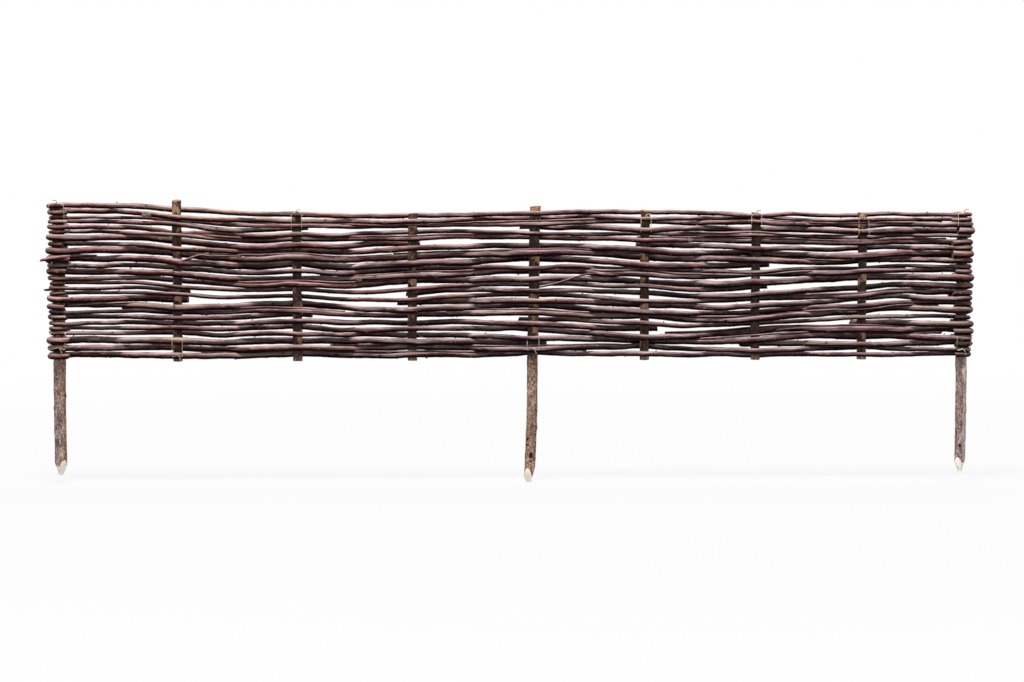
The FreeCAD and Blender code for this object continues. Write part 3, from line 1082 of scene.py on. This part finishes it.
def make_stake(node):
    """A stake with knots, lumps and a sawn top, and with a point if it is a post."""
    low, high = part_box(node)
    radius = (high.y - low.y) / 2
    height = high.z - low.z
    line = stake_line(node)
    deselect()
    bpy.ops.mesh.primitive_cylinder_add(
        vertices=STAKE_SIDES, radius=radius, depth=height, location=(0, 0, low.z + height / 2)
    )
    stake = bpy.context.object
    bpy.ops.object.transform_apply(location=True)
    rings = int(height / STAKE_RING_SPACING)
    divide_lengthwise(stake, 2, (STAKE_FIRST_CUTS, rings // (STAKE_FIRST_CUTS + 1)))
    for finish in (STAKE_BARK, POINT_WOOD, CUT_WOOD):
        stake.data.materials.append(finish)
    centre, lean = line
    stake.data.transform(Matrix.Translation((centre, 0, 0)) @ Matrix.Rotation(lean, 4, "Y"))
    carve_knots(stake, line, KNOTS.get(node) or upright_knots())
    for size, reach in STAKE_LUMPS:
        displaced(stake, size, reach)

    slant = [chance.uniform(-TOP_SLANT, TOP_SLANT) for _ in range(2)]
    crown = Vector((line_at(line, high.z), 0, high.z - TOP_SAWN))
    slice_off(stake, crown, Vector((*slant, 1)).normalized(), STAKE_TOP)
    ring_top(stake, crown)
    if node in LEGS:
        sharpen(stake, node, Vector((line_at(line, low.z), 0, low.z)), radius)
    note_bark(stake, node, line, radius)
    displaced(stake, CROOK_SIZE, CROOK_REACH, direction="X", depth=0)
    smooth(stake)
    stand_for(stake, node)


# The wire ties

def twisted_ends(knot, rise, aside):
    """Two strands that wind round each other from the knot and curl over to one side."""
    curl = rise.cross(aside).normalized()
    strands = []
    for start in (0, math.pi):
        strand = []
        for eighth in range(8 * TWIST_TURNS + 1):
            bend = TWIST_PITCH * eighth / 8 / CURL_RADIUS
            turned = start + eighth * math.pi / 4
            axis = knot + (rise * math.sin(bend) + aside * (1 - math.cos(bend))) * CURL_RADIUS
            out = rise * -math.sin(bend) + aside * math.cos(bend)
            strand.append(axis + (curl * math.cos(turned) + out * math.sin(turned)) * TWIST_RADIUS)
        strands.append(strand)
    return strands


def tie_route(stake, at_top):
    """Middle line of a wire round a stake and its two outermost front rods, its ends twisted together."""
    low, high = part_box(stake)
    radius = (high.y - low.y) / 2
    rods = front_rods(stake_line(stake))
    outer, inner = (rods[-1], rods[-2]) if at_top else (rods[0], rods[1])
    sign = 1 if at_top else -1
    side = radius + WIRE_BESIDE
    face_outer, face_inner = (place.y - thick - WIRE_GAP for place, thick in (outer, inner))
    beyond = inner[0].z - sign * (inner[1] + WIRE_GAP)
    middle = outer[0].x

    # The twist stands up from the top rod, or hangs slanting in front of the lowest
    hook = chance.choice((-1, 1))
    if at_top:
        knot = Vector((middle, face_outer + TOP_TWIST_BACK, outer[0].z + outer[1] + TWIST_CLEAR))
        rise = Vector((0, -0.3, 0.95))
        aside = Vector((hook, -0.2, 0))
    else:
        knot = Vector((middle, face_outer - TWIST_CLEAR, outer[0].z + FOOT_TWIST_HEIGHT * outer[1]))
        rise = Vector((0.75 * hook, -0.15, -0.65))
        aside = Vector((0.3 * hook, 0.1, -0.9))
    strands = twisted_ends(knot, rise, aside)

    # Each strand goes on over both rods on its own side and round to the back of the stake
    crossings = ((outer, face_outer, OUTER_BENDS), (inner, face_inner, INNER_BENDS))
    first = 1 if (strands[0][0] - knot).x >= 0 else -1
    halves = []
    for hand, strand in zip((first, -first), strands):
        half = strand[::-1]
        for (place, thick), face, bends in crossings:
            across = middle + hand * side
            forward = face
            if LOOPED_SIDE.get(stake) == hand:
                across = middle - hand * LOOP_CROSSING * face
                forward = LOOP_CROSSING * face
            for share in bends:
                half.append(Vector((across, forward, place.z + sign * share * thick)))
        half.append(Vector((across, inner[0].y / 2, beyond)))
        half.append(Vector((middle + hand * side, radius + WIRE_GAP, beyond)))
        halves.append(half)
    return halves[0] + halves[1][::-1]


def make_tie(stake, at_top):
    """A wire tie as a round tube along its route."""
    points = tie_route(stake, at_top)
    deselect()
    bpy.ops.curve.primitive_nurbs_path_add()
    wire = bpy.context.object
    spline = wire.data.splines[0]
    spline.points.add(len(points) - len(spline.points))
    for control, place in zip(spline.points, points):
        control.co = (*place, 1)
    spline.order_u = 3
    spline.use_endpoint_u = True
    spline.resolution_u = 3
    wire.location = (0, 0, 0)
    wire.data.bevel_depth = WIRE_RADIUS
    wire.data.bevel_resolution = WIRE_BEVEL
    wire.data.use_fill_caps = True
    work_on(wire)
    bpy.ops.object.convert(target="MESH")
    wire = bpy.context.object
    bpy.ops.object.mode_set(mode="EDIT")
    bpy.ops.mesh.select_all(action="SELECT")
    bpy.ops.mesh.remove_doubles(threshold=WIRE_MERGE)
    bpy.ops.mesh.normals_make_consistent(inside=False)
    bpy.ops.object.mode_set(mode="OBJECT")
    wire.data.materials.clear()
    wire.data.materials.append(TIE_WIRE)
    settle(wire)
    smooth(wire)
    finish_piece(wire, f"{stake}_{'top' if at_top else 'foot'}_tie")


# Floor, light and camera

def seen_directly(start):
    """1 for what the camera, a mirror or glass shows, 0 for light that falls on the object."""
    outputs = start.node("ShaderNodeLightPath").socket.node.outputs
    rays = ("Is Camera Ray", "Is Glossy Ray", "Is Transmission Ray")
    camera, mirror, glass = (Socket(start.tree, outputs[name]) for name in rays)
    return start.math("MINIMUM", camera + mirror + glass, 1.0)


def make_floor():
    """A pale floor that looks white but throws little light back."""
    deselect()
    bpy.ops.mesh.primitive_plane_add(size=FLOOR_SIZE, location=(0, 0, cad_box[0].z))
    floor = bpy.context.object
    floor.name = "floor"
    material, shader, start = new_finish("pale_floor")
    connect(shader, Base_Color=FLOOR_COLOUR, Roughness=0.9)
    shade = Socket(start.tree, shader.outputs["BSDF"])
    white = start.node("ShaderNodeEmission", None, {"Color": WHITE, "Strength": 1.0})
    place = start.object_place()
    away = place.node("ShaderNodeVectorMath", {"operation": "LENGTH"}, {0: place}, "Value")
    share = FLOOR_WHITE + (1 - FLOOR_WHITE) * away.above(WHITE_FROM, WHITE_SOFTNESS)
    blend = start.node("ShaderNodeMixShader", None, {"Fac": seen_directly(start) * share, 1: shade, 2: white})
    start.tree.links.new(blend.socket, start.tree.nodes["Material Output"].inputs["Surface"])
    floor.data.materials.append(material)


def make_lamp(name, place, size, power):
    """A soft square lamp that faces the origin."""
    deselect()
    bpy.ops.object.light_add(type="AREA", location=place)
    lamp = bpy.context.object
    lamp.name = name
    lamp.data.size = size
    lamp.data.energy = power
    lamp.rotation_euler = (-Vector(place)).to_track_quat("-Z", "Y").to_euler()


def make_studio():
    """The floor, the lamps and a room that looks white but gives little light."""
    make_floor()
    for lamp in LAMPS:
        make_lamp(*lamp)
    world = bpy.data.worlds.new("studio")
    bpy.context.scene.world = world
    world.use_nodes = True
    start = Socket(world.node_tree)
    back = world.node_tree.nodes["Background"]
    connect(back, Color=WHITE, Strength=ROOM_LIGHT + seen_directly(start) * (1 - ROOM_LIGHT))
    bpy.context.scene.view_settings.view_transform = "Standard"


def make_camera():
    """A camera that looks at the middle of the object from the photograph's angle."""
    target = (cad_box[0] + cad_box[1]) / 2
    away = Vector((
        math.sin(CAMERA_AZIMUTH) * math.cos(CAMERA_ELEVATION),
        -math.cos(CAMERA_AZIMUTH) * math.cos(CAMERA_ELEVATION),
        math.sin(CAMERA_ELEVATION),
    ))
    deselect()
    bpy.ops.object.camera_add(location=target + away * CAMERA_DISTANCE)
    camera = bpy.context.object
    camera.data.lens = CAMERA_LENS
    camera.rotation_euler = (-away).to_track_quat("-Z", "Y").to_euler()
    bpy.context.scene.camera = camera


stick = make_stick()
rods = {}
for node in sorted(frame["nodes"]):
    if node.startswith("rod_"):
        rods[node] = make_rod(stick, node)
    else:
        make_stake(node)
for twig in TWIGS:
    make_twig(stick, twig)
for number in range(len(SHOOTS)):
    make_shoot(stick, number)
bpy.data.objects.remove(stick)
for number in range(len(BURRS)):
    make_burr(rods, number)
for stake in TIES_AT_TOP:
    make_tie(stake, True)
for stake in TIES_AT_FOOT:
    make_tie(stake, False)
make_studio()
make_camera()
